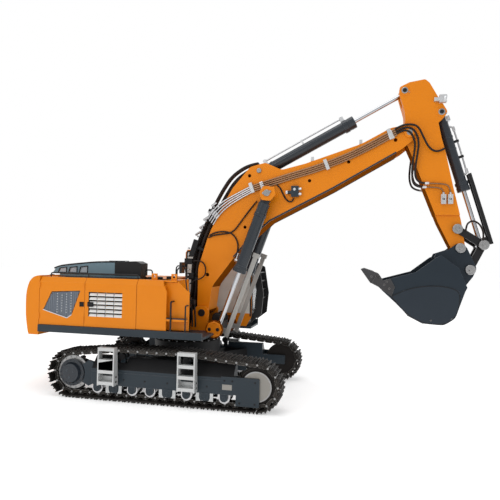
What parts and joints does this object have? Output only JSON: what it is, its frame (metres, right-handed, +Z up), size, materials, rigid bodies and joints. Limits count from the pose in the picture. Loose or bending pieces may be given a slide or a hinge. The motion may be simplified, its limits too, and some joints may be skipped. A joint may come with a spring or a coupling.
{
  "type": "rc excavator",
  "caption": "Radio-controlled tracked hydraulic excavator with a slewing cab and engine house, jointed boom, stick and digging bucket.",
  "frame": {"origin": "on the ground under the middle of the bounding box", "axes": "+X forward, towards the bucket; +Y to the operator's left; +Z up"},
  "size_m": [0.8209, 0.3, 0.5571],
  "materials": {
    "orange_paint": "satin paint",
    "grey_paint": "satin paint",
    "black_paint": "satin paint",
    "dark_steel": "worn steel",
    "bright_steel": "turned steel",
    "chrome_rod": "polished",
    "cylinder_paint": "gloss paint",
    "bucket_paint": "satin paint",
    "aluminium": "bead blasted",
    "idler_paint": "satin paint",
    "hose_rubber": "braided hose",
    "glass": "clear",
    "black_plastic": "moulded",
    "tank_metal": "satin paint"
  },
  "bodies": {
    "undercarriage": {"cross_frame": "grey_paint", "right_track_frame": "grey_paint", "left_track_frame": "grey_paint", "right_track_shoes": "dark_steel", "left_track_shoes": "dark_steel", "right_track_links": "dark_steel", "left_track_links": "dark_steel", "track_rollers": "bright_steel", "travel_motors": "aluminium", "access_ladders": "aluminium", "slew_gear": "dark_steel", "slew_bolts": "bright_steel"},
    "right_drive": {"right_sprocket": "aluminium"},
    "left_drive": {"left_sprocket": "aluminium"},
    "right_front_wheel": {"right_idler": "idler_paint"},
    "left_front_wheel": {"left_idler": "idler_paint"},
    "upper": {"upper_frame": "grey_paint", "counterweight": "orange_paint", "right_front_panel": "orange_paint", "left_panels": "orange_paint", "top_deck": "orange_paint", "handrails": "black_paint", "mirror": "black_paint", "cab_shell": "orange_paint", "cab_glass": "glass", "cab_guard": "black_paint", "operator_seat": "black_plastic", "swing_motor": "tank_metal", "hydraulic_pump": "aluminium", "oil_tank": "tank_metal", "battery": "black_plastic", "radio_controller": "black_plastic", "valve_block": "aluminium"},
    "pinion": {"swing_pinion": "dark_steel"},
    "rear_door_leaf": {"rear_door": "orange_paint"},
    "louvre_door_leaf": {"louvre_door": "orange_paint"},
    "hood": {"engine_hood": "grey_paint"},
    "cab_door_leaf": {"cab_door": "orange_paint"},
    "boom_arm": {"boom": "orange_paint", "boom_pins": "bright_steel", "boom_pipes": "bright_steel", "boom_fittings": "aluminium", "boom_hoses": "hose_rubber"},
    "boom_rods": {"boom_cylinder_rods": "chrome_rod", "boom_rod_guards": "aluminium"},
    "boom_barrels": {"boom_cylinder_barrels": "cylinder_paint"},
    "stick_barrel": {"stick_cylinder_barrel": "cylinder_paint"},
    "stick_rod": {"stick_cylinder_rod": "chrome_rod"},
    "stick_arm": {"stick": "orange_paint", "stick_pins": "bright_steel", "stick_fittings": "aluminium", "stick_hoses": "hose_rubber", "work_light": "black_paint"},
    "bucket_barrel": {"bucket_cylinder_barrel": "cylinder_paint"},
    "bucket_rod": {"bucket_cylinder_rod": "chrome_rod", "bucket_rod_guard": "black_paint"},
    "idler_arms": {"idler_links": "black_paint"},
    "coupler": {"h_link": "black_paint"},
    "digging_bucket": {"bucket": "bucket_paint", "bucket_teeth": "bucket_paint"}
  },
  "joints": [
    {"name": "swing", "type": "hinge", "parent": "undercarriage", "child": "upper", "pos_m": [-0.12503, 0, 0.105], "axis": [0, 0, 1], "continuous": true},
    {"name": "swing_pinion_turn", "type": "hinge", "parent": "upper", "child": "pinion", "pos_m": [-0.18803, 0, 0.098], "axis": [0, 0, 1], "continuous": true},
    {"name": "right_drive_turn", "type": "hinge", "parent": "undercarriage", "child": "right_drive", "pos_m": [-0.29003, -0.1175, 0.041], "axis": [0, -1, 0], "continuous": true},
    {"name": "left_drive_turn", "type": "hinge", "parent": "undercarriage", "child": "left_drive", "pos_m": [-0.29003, 0.1175, 0.041], "axis": [0, -1, 0], "continuous": true},
    {"name": "right_idler_turn", "type": "hinge", "parent": "undercarriage", "child": "right_front_wheel", "pos_m": [0.03797, -0.1175, 0.041], "axis": [0, -1, 0], "continuous": true},
    {"name": "left_idler_turn", "type": "hinge", "parent": "undercarriage", "child": "left_front_wheel", "pos_m": [0.03797, 0.1175, 0.041], "axis": [0, -1, 0], "continuous": true},
    {"name": "rear_door_open", "type": "hinge", "parent": "upper", "child": "rear_door_leaf", "pos_m": [-0.36363, -0.12, 0.16], "axis": [0, 0, -1], "range_deg": [0, 100]},
    {"name": "louvre_door_open", "type": "hinge", "parent": "upper", "child": "louvre_door_leaf", "pos_m": [-0.17703, -0.12, 0.16], "axis": [0, 0, 1], "range_deg": [0, 100]},
    {"name": "hood_open", "type": "hinge", "parent": "upper", "child": "hood", "pos_m": [-0.28803, 0.062, 0.2054], "axis": [-1, 0, 0], "range_deg": [0, 60]},
    {"name": "cab_door_open", "type": "hinge", "parent": "upper", "child": "cab_door_leaf", "pos_m": [-0.12363, 0.118, 0.18], "axis": [0, 0, 1], "range_deg": [0, 95]},
    {"name": "boom_lift", "type": "hinge", "parent": "upper", "child": "boom_arm", "pos_m": [-0.08823, 0, 0.1437], "axis": [0, -1, 0], "range_deg": [-25, 20]},
    {"name": "boom_rod_swing", "type": "hinge", "parent": "upper", "child": "boom_rods", "pos_m": [-0.05453, 0, 0.116], "axis": [0, -1, 0], "range_deg": [-25, 20]},
    {"name": "boom_cylinder_slide", "type": "slide", "parent": "boom_rods", "child": "boom_barrels", "axis": [0.3355, 0, 0.942], "range_m": [-0.019, 0.016]},
    {"name": "stick_swing", "type": "hinge", "parent": "boom_arm", "child": "stick_arm", "pos_m": [0.27297, 0, 0.465], "axis": [0, -1, 0], "range_deg": [-22, 22]},
    {"name": "stick_cylinder_swing", "type": "hinge", "parent": "boom_arm", "child": "stick_barrel", "pos_m": [0.01267, 0, 0.4047], "axis": [0, -1, 0], "range_deg": [-3, 3]},
    {"name": "stick_cylinder_slide", "type": "slide", "parent": "stick_barrel", "child": "stick_rod", "axis": [0.8816, 0, 0.472], "range_m": [-0.027, 0.027]},
    {"name": "bucket_curl", "type": "hinge", "parent": "stick_arm", "child": "digging_bucket", "pos_m": [0.35697, 0, 0.2695], "axis": [0, -1, 0], "range_deg": [-10, 60]},
    {"name": "idler_link_swing", "type": "hinge", "parent": "stick_arm", "child": "idler_arms", "pos_m": [0.35197, 0, 0.3015], "axis": [0, -1, 0], "range_deg": [-8, 44]},
    {"name": "h_link_swing", "type": "hinge", "parent": "idler_arms", "child": "coupler", "pos_m": [0.39297, 0, 0.275], "axis": [0, -1, 0], "range_deg": [-21, 4]},
    {"name": "bucket_cylinder_swing", "type": "hinge", "parent": "stick_arm", "child": "bucket_barrel", "pos_m": [0.32497, 0, 0.4998], "axis": [0, -1, 0], "range_deg": [-2, 6]},
    {"name": "bucket_cylinder_slide", "type": "slide", "parent": "bucket_barrel", "child": "bucket_rod", "axis": [0.2895, 0, -0.9572], "range_m": [-0.03, 0.0055]}
  ],
  "couplings": [
    {"joint": "swing_pinion_turn", "follows": "swing", "ratio": 6},
    {"joint": "right_idler_turn", "follows": "right_drive_turn", "ratio": 1},
    {"joint": "left_idler_turn", "follows": "left_drive_turn", "ratio": 1},
    {"joint": "boom_rod_swing", "follows": "boom_lift", "ratio": 0.9539},
    {"joint": "boom_cylinder_slide", "follows": "boom_lift", "m_per_rad": 0.04131},
    {"joint": "stick_cylinder_swing", "follows": "stick_swing", "ratio": 0.0934},
    {"joint": "stick_cylinder_slide", "follows": "stick_swing", "m_per_rad": -0.068841},
    {"joint": "idler_link_swing", "follows": "bucket_curl", "ratio": 0.70987},
    {"joint": "h_link_swing", "follows": "bucket_curl", "ratio": -0.32944},
    {"joint": "bucket_cylinder_swing", "follows": "bucket_curl", "ratio": 0.08813},
    {"joint": "bucket_cylinder_slide", "follows": "bucket_curl", "m_per_rad": -0.027782}
  ]
}
